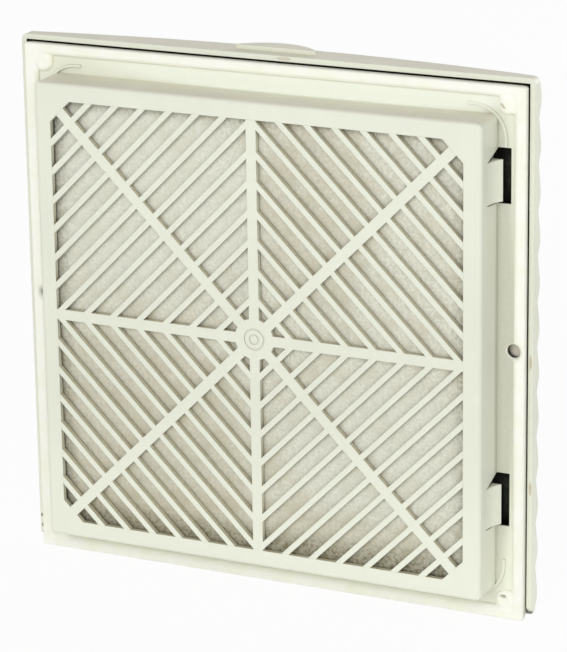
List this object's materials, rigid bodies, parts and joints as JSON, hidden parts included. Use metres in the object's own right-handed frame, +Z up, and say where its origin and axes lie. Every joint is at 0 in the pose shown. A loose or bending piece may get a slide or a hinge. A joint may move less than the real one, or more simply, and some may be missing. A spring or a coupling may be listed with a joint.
{
  "type": "cabinet vent filter",
  "caption": "Square louvred vent filter for a cabinet wall: snap-in box with a star grille, foamed gasket, filter mat and a louvre cover hinged at its lower edge",
  "frame": {"origin": "centre of the square panel cut-out, in the plane of the flange's rear face", "axes": "+Z up, the louvres face -Y, the box goes into the cabinet towards +Y, and +X is to the right of someone who faces the louvres"},
  "size_m": [0.255, 0.0386, 0.2537],
  "materials": {
    "moulding": "satin light grey ABS moulding",
    "gasket_foam": "cream foamed polyurethane bead",
    "filter_fleece": "off-white synthetic fleece"
  },
  "bodies": {
    "frame": {"filter_box": "moulding", "mounting_flange": "moulding", "rear_grille": "moulding", "gasket": "gasket_foam", "filter_mat": "filter_fleece"},
    "cover": {"cover_frame": "moulding", "finger_tab": "moulding", "cover_rib_left": "moulding", "cover_rib_middle": "moulding", "cover_rib_right": "moulding", "hinge_pin_left": "moulding", "hinge_pin_right": "moulding", "louvre_1": "moulding", "louvre_2": "moulding", "louvre_3": "moulding", "louvre_4": "moulding", "louvre_5": "moulding", "louvre_6": "moulding", "louvre_7": "moulding", "louvre_8": "moulding", "louvre_9": "moulding", "louvre_10": "moulding", "louvre_11": "moulding", "louvre_12": "moulding"},
    "latch_upper_left": {"latch_upper_left": "moulding"},
    "latch_upper_right": {"latch_upper_right": "moulding"},
    "latch_lower_left": {"latch_lower_left": "moulding"},
    "latch_lower_right": {"latch_lower_right": "moulding"},
    "cover_catch_left": {"cover_catch_left": "moulding"},
    "cover_catch_right": {"cover_catch_right": "moulding"}
  },
  "joints": [
    {"name": "cover_hinge", "type": "hinge", "parent": "frame", "child": "cover", "pos_m": [0, -0.0066, -0.1216], "axis": [1, 0, 0], "range_deg": [0, 90]},
    {"name": "latch_upper_left_flex", "type": "hinge", "parent": "frame", "child": "latch_upper_left", "pos_m": [-0.1096, 0.0113, 0.0815], "axis": [0, 0, 1], "range_deg": [0, 18], "stiffness_Nm_per_rad": 0.25},
    {"name": "latch_upper_right_flex", "type": "hinge", "parent": "frame", "child": "latch_upper_right", "pos_m": [0.1096, 0.0113, 0.0815], "axis": [0, 0, -1], "range_deg": [0, 18], "stiffness_Nm_per_rad": 0.25},
    {"name": "latch_lower_left_flex", "type": "hinge", "parent": "frame", "child": "latch_lower_left", "pos_m": [-0.1096, 0.0113, -0.069], "axis": [0, 0, 1], "range_deg": [0, 18], "stiffness_Nm_per_rad": 0.25},
    {"name": "latch_lower_right_flex", "type": "hinge", "parent": "frame", "child": "latch_lower_right", "pos_m": [0.1096, 0.0113, -0.069], "axis": [0, 0, -1], "range_deg": [0, 18], "stiffness_Nm_per_rad": 0.25},
    {"name": "cover_catch_left_flex", "type": "hinge", "parent": "cover", "child": "cover_catch_left", "pos_m": [-0.07, -0.0022, 0.1065], "axis": [-1, 0, 0], "range_deg": [0, 5], "stiffness_Nm_per_rad": 0.15},
    {"name": "cover_catch_right_flex", "type": "hinge", "parent": "cover", "child": "cover_catch_right", "pos_m": [0.07, -0.0022, 0.1065], "axis": [-1, 0, 0], "range_deg": [0, 5], "stiffness_Nm_per_rad": 0.15}
  ]
}
